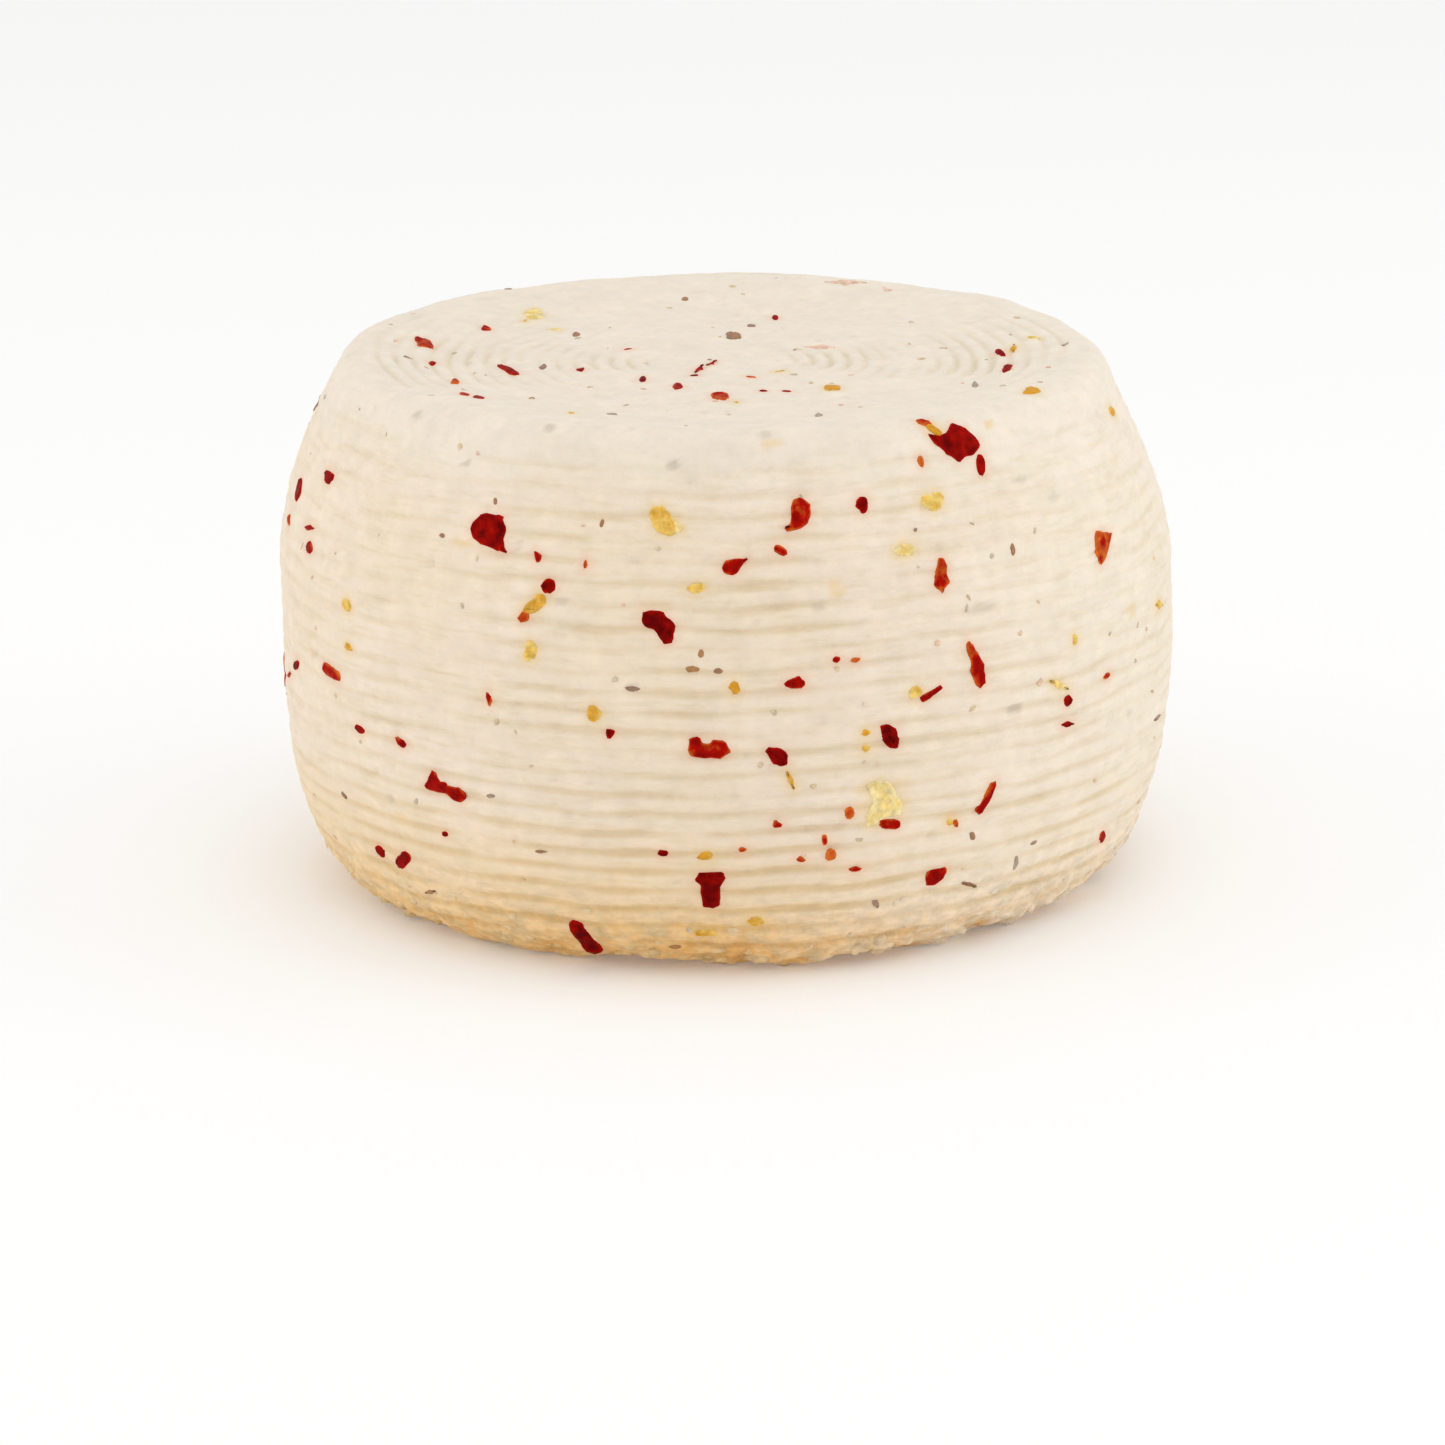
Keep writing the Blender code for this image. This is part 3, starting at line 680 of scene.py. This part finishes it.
def spreadFlakes():
    kinds = {"red": [], "gold": [], "dark": [], "faint": []}
    draw = random.Random(hidden["seed"])

    def add(kind, place, length, width, lean, shape, tone):
        kinds[kind].append((place, smallOutline(shape, length, width, lean, draw), tone))

    ruled = farFlakes(random.Random(hidden["seed"]))
    for index, (azimuth, lean, height, length, width) in enumerate(ruled):
        kind = "gold" if index % 5 == 2 else "red"
        shape = shapeNames[index % len(shapeNames)]
        add(kind, flankPlacer(azimuth, height), length, width, lean, shape, 0.3 + 0.03 * index)
    for kind, rows in (("red", largeRed), ("gold", largeGold)):
        for azimuth, height, tone, corners in rows:
            kinds[kind].append((flankPlacer(azimuth, height), largeOutline(corners, draw), tone))
    for kind, rows in (("red", redFlakes), ("gold", goldFlakes), ("dark", darkSpecks)):
        for azimuth, height, *rest in rows:
            add(kind, flankPlacer(azimuth, height), *rest)
    for kind, rows in (("red", topRed), ("gold", topGold), ("dark", topDark), ("faint", topFaint)):
        for x, y, *rest in rows:
            add(kind, topPlacer(x, y), *rest)

    def scatter(place, length, kindsToDraw):
        width = length * draw.uniform(0.4, 1.0)
        add(draw.choice(kindsToDraw), place, length, width, draw.uniform(-90, 90), draw.choice(shapeNames),
            draw.uniform(0.1, 0.85))

    for index in range(hidden["small"]):
        place = flankPlacer(92 + 176 * draw.random(), draw.uniform(5, 82))
        scale = 1.4 if index % 6 == 0 else 1.0
        scatter(place, draw.uniform(0.8, 2.6) * scale, ("red", "red", "red", "gold", "dark"))
    for placer, area, reach in ((topPlacer, "topSmall", 56), (basePlacer, "base", 46)):
        for index in range(hidden[area]):
            radius, azimuth = reach * math.sqrt(draw.random()), math.tau * draw.random()
            place = placer(radius * math.sin(azimuth), radius * math.cos(azimuth))
            scale = 2.0 if placer is basePlacer and index % 4 == 0 else 1.0
            scatter(place, draw.uniform(0.8, 2.2) * scale, ("red", "red", "gold", "dark"))
    for _ in range(hidden["faint"]):
        scatter(flankPlacer(360 * draw.random(), draw.uniform(4, 83)), draw.uniform(0.5, 1.3), ("faint",))
    for _ in range(hidden["topFaint"]):
        radius, azimuth = 58 * math.sqrt(draw.random()), math.tau * draw.random()
        place = topPlacer(radius * math.sin(azimuth), radius * math.cos(azimuth))
        scatter(place, draw.uniform(0.6, 1.6), ("faint",))
    return kinds


def makeFlakes(name, rows, rimWarmth):
    bm = bmesh.new()
    tone = bm.verts.layers.float.new("tone")
    for place, points, shade in rows:
        addChip(bm, tone, place, points, shade, rimWarmth)
    bmesh.ops.recalc_face_normals(bm, faces=bm.faces[:])
    return makePiece(name, bm)


# 4: colour that has soaked into the paste: halos round the flakes, buried gold, grey smudges
soaked = {
    "spread": 0.0010,
    "strength": 0.42,
    "buriedGold": (  # azimuth, height, half width and half height in mm, strength
        (19.5, 29.0, 4.2, 4.2, 0.45), (13.8, 63.1, 1.6, 1.4, 0.40), (23.4, 67.9, 2.0, 1.5, 0.55),
        (62.2, 50.2, 1.8, 1.5, 0.4), (-6.3, 72.9, 2.0, 1.7, 0.55), (-35.6, 67.8, 2.2, 0.8, 0.4),
        (-47.5, 21.6, 1.7, 0.9, 0.35), (-13.0, 8.1, 2.2, 1.2, 0.2), (-2.9, 8.5, 2.6, 1.6, 0.35),
        (6.9, 84.3, 1.8, 0.8, 0.4), (41.6, 83.8, 0.9, 0.7, 0.6),
    ),
    "smudges": (
        (43.9, 75.2, 1.9, 0.6, 0.55), (48.8, 71.7, 1.9, 0.7, 0.4), (33.6, 58.0, 2.6, 0.8, 0.45),
        (37.9, 40.8, 1.9, 0.8, 0.8), (-6.7, 81.5, 1.0, 0.8, 0.7), (-25.8, 85.3, 1.0, 0.7, 0.6),
        (-49.9, 84.0, 1.2, 0.8, 0.6), (-37.5, 79.0, 0.8, 0.6, 0.6), (-20.7, 61.1, 1.0, 0.6, 0.5),
        (11.5, 60.7, 1.3, 0.7, 0.5), (-49.1, 24.3, 0.7, 1.2, 0.5), (62.7, 33.1, 1.2, 0.8, 0.4),
        (-11.6, 48.9, 0.9, 0.5, 0.5), (6.2, 85.3, 1.1, 0.7, 0.5),
    ),
}


def soakColours(piece, kinds):
    mesh = piece.data
    tree = kdtree.KDTree(len(mesh.vertices))
    for vert in mesh.vertices:
        tree.insert(vert.co, vert.index)
    tree.balance()
    layers = {name: [0.0] * len(mesh.vertices) for name in ("redHalo", "goldHalo", "smudge")}

    for kind, name in (("red", "redHalo"), ("gold", "goldHalo")):
        layer = layers[name]
        for place, points, _ in kinds[kind]:
            for across, up in points[::2] + [(0, 0)]:
                for _, index, distance in tree.find_range(place(across, up, 0), 2.5 * soaked["spread"]):
                    amount = soaked["strength"] * math.exp(-(distance / soaked["spread"]) ** 2)
                    layer[index] = max(layer[index], amount)
    for name, layer in (("buriedGold", layers["goldHalo"]), ("smudges", layers["smudge"])):
        for azimuth, height, halfWidth, halfHeight, strength in soaked[name]:
            centre = flankPoint(math.radians(azimuth), height / 1000)
            for found, index, _ in tree.find_range(centre, 0.009):
                offset = found - centre
                sideways = math.hypot(offset.x, offset.y) / (halfWidth / 1000)
                upward = offset.z / (halfHeight / 1000)
                away = math.hypot(sideways, upward) + 0.45 * noise.noise(found / 0.0016)
                layer[index] = max(layer[index], strength * (1 - smoothShare(away, 0.55, 1.25)))
    for name, values in layers.items():
        mesh.attributes.new(name, "FLOAT", "POINT").data.foreach_set("value", values)


# 5: materials
def startMaterial(name):
    material = bpy.data.materials.new(name)
    material.use_nodes = True
    nodes, links = material.node_tree.nodes, material.node_tree.links
    return material, nodes, links, nodes["Principled BSDF"]


def addNoise(nodes, links, coords, scale, detail, roughness=0.5, flatness=1.0):
    if flatness != 1.0:
        mapping = nodes.new("ShaderNodeMapping")
        mapping.inputs["Scale"].default_value = (1.0, 1.0, flatness)
        links.new(coords, mapping.inputs["Vector"])
        coords = mapping.outputs[0]
    node = nodes.new("ShaderNodeTexNoise")
    node.inputs["Scale"].default_value = scale
    node.inputs["Detail"].default_value = detail
    node.inputs["Roughness"].default_value = roughness
    links.new(coords, node.inputs["Vector"])
    return node.outputs["Fac"]


def addRange(nodes, links, value, start, end, low=0.0, high=1.0):
    node = nodes.new("ShaderNodeMapRange")
    links.new(value, node.inputs["Value"])
    for name, amount in (("From Min", start), ("From Max", end), ("To Min", low), ("To Max", high)):
        node.inputs[name].default_value = amount
    return node.outputs["Result"]


def addMix(nodes, links, factor, first, second, mode="MIX"):
    node = nodes.new("ShaderNodeMix")
    node.data_type = "RGBA"
    node.blend_type = mode
    for socket, value in ((node.inputs[0], factor), (node.inputs[6], first), (node.inputs[7], second)):
        if isinstance(value, bpy.types.NodeSocket):
            links.new(value, socket)
        elif isinstance(value, float):
            socket.default_value = value
        else:
            socket.default_value = (*value, 1.0)
    return node.outputs[2]


def addShade(nodes, links, colour, value):  # darkens or lightens a colour by a grey value
    gray = nodes.new("ShaderNodeCombineColor")
    for channel in gray.inputs:
        links.new(value, channel)
    return addMix(nodes, links, 1.0, colour, gray.outputs[0], "MULTIPLY")


def addBump(nodes, links, shader, height, strength, distance):
    bump = nodes.new("ShaderNodeBump")
    bump.inputs["Strength"].default_value = strength
    bump.inputs["Distance"].default_value = distance
    links.new(height, bump.inputs["Height"])
    links.new(bump.outputs[0], shader.inputs["Normal"])


def addMath(nodes, links, operation, first, second):
    node = nodes.new("ShaderNodeMath")
    node.operation = operation
    links.new(first, node.inputs[0])
    links.new(second, node.inputs[1])
    return node.outputs[0]


def addAttribute(nodes, name):
    node = nodes.new("ShaderNodeAttribute")
    node.attribute_name = name
    return node.outputs["Fac"]


paste = {
    "cream": (0.86, 0.724, 0.555),
    "rosy": (0.87, 0.743, 0.60),
    "white": (0.84, 0.753, 0.635),
    # painted light: the paler colour of the right side
    "rightLight": (0.875, 0.80, 0.685),
    # the paste's own warm rind together with painted warm bounce light at the foot
    "warmAndBounce": (0.85, 0.62, 0.325),
    # real ochre crumb together with painted shade and warm bounce light at the foot
    "ochreAndShade": (0.84, 0.46, 0.125),
    # painted shade in the grooves of the ribs and rings, stronger low down
    "grooveShade": (0.93, 0.90, 0.81),
    "lowGrooveShade": (0.95, 0.90, 0.80),
    "streakTint": (0.935, 0.915, 0.85),
    "redStain": (0.86, 0.50, 0.33),
    "gold": (0.83, 0.57, 0.21),
    "smudge": (0.55, 0.47, 0.36),
    "warmHeight": 0.027,
    "footHeight": 0.013,
    "roughness": 0.58,
    "subsurface": 0.12,
    "subsurfaceRadius": (0.0030, 0.0018, 0.0009),
    "specular": 0.28,
    "bump": 0.48,
    "bumpDistance": 0.0003,
}


def pasteMaterial(name, foot):
    material, nodes, links, shader = startMaterial(name)
    coords = nodes.new("ShaderNodeTexCoord").outputs["Object"]
    broad = addNoise(nodes, links, coords, 38.0, 3.0)
    patches = addNoise(nodes, links, coords, 150.0, 3.0, 0.55)
    grains = addNoise(nodes, links, coords, 420.0, 3.0, 0.6)
    fine = addNoise(nodes, links, coords, 1600.0, 2.0, 0.6)
    streaks = addNoise(nodes, links, coords, 125.0, 4.0, 0.62, 6.5)
    split = nodes.new("ShaderNodeSeparateXYZ")
    links.new(coords, split.inputs[0])
    colour = addMix(nodes, links, addRange(nodes, links, broad, 0.35, 0.65), paste["cream"], paste["rosy"])
    upper = addRange(nodes, links, split.outputs["Z"], 0.072, 0.086, 0.0, 0.9)
    colour = addMix(nodes, links, upper, colour, paste["white"])
    rightward = addRange(nodes, links, split.outputs["X"], 0.01, 0.06, 0.0, 0.5)  # the right side is painted paler: painted light, falling more from the right
    colour = addMix(nodes, links, rightward, colour, paste["rightLight"])
    # warmer towards the foot, more on the left: partly the paste's own warm rind, partly painted warm bounce
    # light from below
    leftward = addRange(nodes, links, split.outputs["X"], -0.005, 0.035, 1.0, 0.22)
    low = addRange(nodes, links, split.outputs["Z"], paste["warmHeight"], 0.002, 0.0, 1.0)
    colour = addMix(nodes, links, addMath(nodes, links, "MULTIPLY", low, leftward), colour, paste["warmAndBounce"])
    midmost = addMath(nodes, links, "MULTIPLY",  # the foot is browner in the middle: partly real ochre, partly painted shade and warm bounce light
                      addRange(nodes, links, split.outputs["X"], -0.045, -0.010, 0.55, 1.0),
                      addRange(nodes, links, split.outputs["X"], 0.0, 0.035, 1.0, 0.34))
    # ochre at the foot: partly the rind's real ochre crumb, partly painted shade and warm bounce light where
    # the foot meets the ground
    ochreAndShade = addMath(nodes, links, "MULTIPLY", midmost,
                    addRange(nodes, links, split.outputs["Z"], paste["footHeight"], 0.003, 0.0, foot))
    ochreAndShade = addMath(nodes, links, "MULTIPLY", ochreAndShade, addRange(nodes, links, patches, 0.36, 0.55, 0.45, 1.0))
    ochreAndShade = addMath(nodes, links, "MULTIPLY", ochreAndShade, addRange(nodes, links, grains, 0.38, 0.60, 0.35, 1.0))
    # the hollows and notches of the foot take the ochre as well: partly crumb colour, partly painted shade
    # in the recesses
    hollow = addRange(nodes, links, addAttribute(nodes, "hollow"), 0.1, 0.8, 0.0, 0.8)
    ochreAndShade = addMath(nodes, links, "MAXIMUM", ochreAndShade, hollow)
    colour = addMix(nodes, links, ochreAndShade, colour, paste["ochreAndShade"])
    lowest = addRange(nodes, links, split.outputs["Z"], 0.018, 0.003)
    crumbly = addNoise(nodes, links, coords, 360.0, 4.0, 0.6, 1.8)
    crumbly = addShade(nodes, links, colour, addRange(nodes, links, crumbly, 0.38, 0.62, 0.80, 1.11))
    colour = addMix(nodes, links, lowest, colour, crumbly)
    # painted shade: the grooves of the ribs and rings are darkened, those low on the flank more
    darkening = addRange(nodes, links, addAttribute(nodes, "groove"), 0.15, 0.9, 0.0, 1.0)
    colour = addMix(nodes, links, darkening, colour, paste["grooveShade"], "MULTIPLY")
    darkening = addMath(nodes, links, "MULTIPLY", darkening, addRange(nodes, links, split.outputs["Z"], 0.034, 0.010))
    colour = addMix(nodes, links, darkening, colour, paste["lowGrooveShade"], "MULTIPLY")
    flank = addRange(nodes, links, split.outputs["Z"], 0.078, 0.084, 0.75, 0.12)
    darkening = addMath(nodes, links, "MULTIPLY", addRange(nodes, links, streaks, 0.49, 0.35), flank)
    colour = addMix(nodes, links, darkening, colour, paste["streakTint"], "MULTIPLY")
    colour = addShade(nodes, links, colour, addRange(nodes, links, patches, 0.3, 0.7, 0.965, 1.025))
    colour = addShade(nodes, links, colour, addRange(nodes, links, grains, 0.3, 0.72, 0.96, 1.035))
    colour = addMix(nodes, links, addAttribute(nodes, "redHalo"), colour, paste["redStain"])
    colour = addMix(nodes, links, addAttribute(nodes, "goldHalo"), colour, paste["gold"])
    colour = addMix(nodes, links, addAttribute(nodes, "smudge"), colour, paste["smudge"])
    links.new(colour, shader.inputs["Base Color"])
    dullness = addRange(nodes, links, grains, 0.3, 0.7, paste["roughness"] - 0.06, paste["roughness"] + 0.12)
    links.new(dullness, shader.inputs["Roughness"])
    shader.inputs["Subsurface Weight"].default_value = paste["subsurface"]
    shader.inputs["Subsurface Radius"].default_value = paste["subsurfaceRadius"]
    shader.inputs["Subsurface Scale"].default_value = 1.0
    shader.inputs["Specular IOR Level"].default_value = paste["specular"]
    rough = addMath(nodes, links, "ADD", addRange(nodes, links, fine, 0.0, 1.0, 0.0, 0.4), streaks)
    crumble = addRange(nodes, links, split.outputs["Z"], 0.018, 0.003, 0.9, 3.2)
    rough = addMath(nodes, links, "ADD", rough, addMath(nodes, links, "MULTIPLY", grains, crumble))
    addBump(nodes, links, shader, rough, paste["bump"], paste["bumpDistance"])
    return material


flakeSkin = {"specular": 0.02, "bump": 0.4, "bumpDistance": 0.0002}


def flakeMaterial(name, dark, middle, bright, roughness):
    material, nodes, links, shader = startMaterial(name)
    coords = nodes.new("ShaderNodeTexCoord").outputs["Object"]
    blotches = addRange(nodes, links, addNoise(nodes, links, coords, 520.0, 3.0, 0.6), 0.3, 0.7, -0.2, 0.2)
    tone = addMath(nodes, links, "ADD", addAttribute(nodes, "tone"), blotches)
    colour = addMix(nodes, links, addRange(nodes, links, tone, 0.0, 0.5), dark, middle)
    colour = addMix(nodes, links, addRange(nodes, links, tone, 0.5, 1.0), colour, bright)
    flesh = addNoise(nodes, links, coords, 900.0, 3.0, 0.6)
    colour = addShade(nodes, links, colour, addRange(nodes, links, flesh, 0.3, 0.7, 0.76, 1.2))
    links.new(colour, shader.inputs["Base Color"])
    dullness = addRange(nodes, links, flesh, 0.3, 0.7, roughness - 0.1, roughness + 0.1)
    links.new(dullness, shader.inputs["Roughness"])
    shader.inputs["Specular IOR Level"].default_value = flakeSkin["specular"]
    addBump(nodes, links, shader, flesh, flakeSkin["bump"], flakeSkin["bumpDistance"])
    return material


def addPiece(piece, material):
    piece.data.materials.append(material)
    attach(piece, "root")


pecorino = makeWheel()
print("wheel turned:", 2 * (len(pecorino.data.vertices) - 2), "triangles")
flakes = spreadFlakes()
soakColours(pecorino, flakes)
addPiece(pecorino, pasteMaterial("pecorino_paste", 1.0))
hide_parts("cheese_wheel")
addPiece(makeCrumbs(flakes), pasteMaterial("foot_crumb_paste", 0.45))
print("colour soaked in, crumbs pressed on")

finishes = {  # piece, material, slot, dark, middle and bright colour, roughness, warmth of the rim
    "red": ("red_flakes", "red_chilli", "red_chilli", (0.13, 0.001, 0.001), (0.40, 0.004, 0.001),
            (0.68, 0.17, 0.025), 0.5, 0.20),
    "gold": ("golden_flakes", "golden_chilli", "yellow_chilli", (0.84, 0.71, 0.39), (0.83, 0.58, 0.15),
             (0.68, 0.32, 0.03), 0.5, -0.15),
    "dark": ("dark_specks", "dark_speck", "dark_speck", (0.46, 0.38, 0.31), (0.34, 0.20, 0.13),
             (0.44, 0.22, 0.09), 0.55, 0.0),
    "faint": ("faint_specks", "faint_speck", "dark_speck", (0.60, 0.53, 0.41), (0.72, 0.55, 0.35),
              (0.80, 0.54, 0.42), 0.6, 0.0),
}
for kind, (pieceName, materialName, slotName, *colours, roughness, rimWarmth) in finishes.items():
    piece = makeFlakes(pieceName, flakes[kind], rimWarmth)
    addPiece(piece, flakeMaterial(materialName, *colours, roughness))
print("flakes pressed in:", sum(len(rows) for rows in flakes.values()))

# 6: floor, light and camera
studio = {
    "floorSize": 4.0,
    "floorColour": (0.86, 0.86, 0.855),
    "floorGlow": 0.12,
    "sky": 0.84,
    "lamps": {
        "key": ((0.1, -0.30, 1.45), 1.0, 2.4),
        "left": ((-1.25, -0.15, 0.45), 1.2, 2.6),
        "right": ((1.25, -0.15, 0.45), 1.2, 3.0),
    },
}

view = {
    "position": (0.0, -1.0, 0.3041),
    "target": (-0.0008, 0.0, 0.0230),
    "lens": 157.66,
    "sensor": 36.0,
    "roll": -0.984,
}


def makeFloor():
    bm = bmesh.new()
    bmesh.ops.create_grid(bm, x_segments=1, y_segments=1, size=studio["floorSize"] / 2)
    floor = makePiece("floor", bm)
    material, _, _, shader = startMaterial("floor")
    shader.inputs["Base Color"].default_value = (*studio["floorColour"], 1.0)
    shader.inputs["Roughness"].default_value = 0.9
    shader.inputs["Emission Color"].default_value = (1, 1, 1, 1)
    shader.inputs["Emission Strength"].default_value = studio["floorGlow"]
    floor.data.materials.append(material)


def aim(thing, target, roll=0.0):
    turn = (Vector(target) - thing.location).to_track_quat("-Z", "Y")
    thing.rotation_euler = (turn @ Quaternion((0, 0, 1), math.radians(roll))).to_euler()


def makeLight(name, place, size, power):
    light = bpy.data.lights.new(name, "AREA")
    light.shape = "DISK"
    light.size = size
    light.energy = power
    lamp = bpy.data.objects.new(name, light)
    lamp.location = place
    aim(lamp, (0, 0, wheel["height"] / 2))
    bpy.context.scene.collection.objects.link(lamp)


def makeStudio():
    makeFloor()
    for name, lamp in studio["lamps"].items():
        makeLight(name, *lamp)
    scene = bpy.context.scene
    world = bpy.data.worlds.new("studio")
    world.use_nodes = True
    background = world.node_tree.nodes["Background"]
    background.inputs["Color"].default_value = (1, 1, 1, 1)
    background.inputs["Strength"].default_value = studio["sky"]
    scene.world = world
    scene.view_settings.view_transform = "Standard"
    lens = bpy.data.cameras.new("camera")
    lens.lens = view["lens"]
    lens.sensor_width = view["sensor"]
    camera = bpy.data.objects.new("camera", lens)
    camera.location = view["position"]
    aim(camera, view["target"], view["roll"])
    scene.collection.objects.link(camera)
    scene.camera = camera


makeStudio()
print("studio ready")
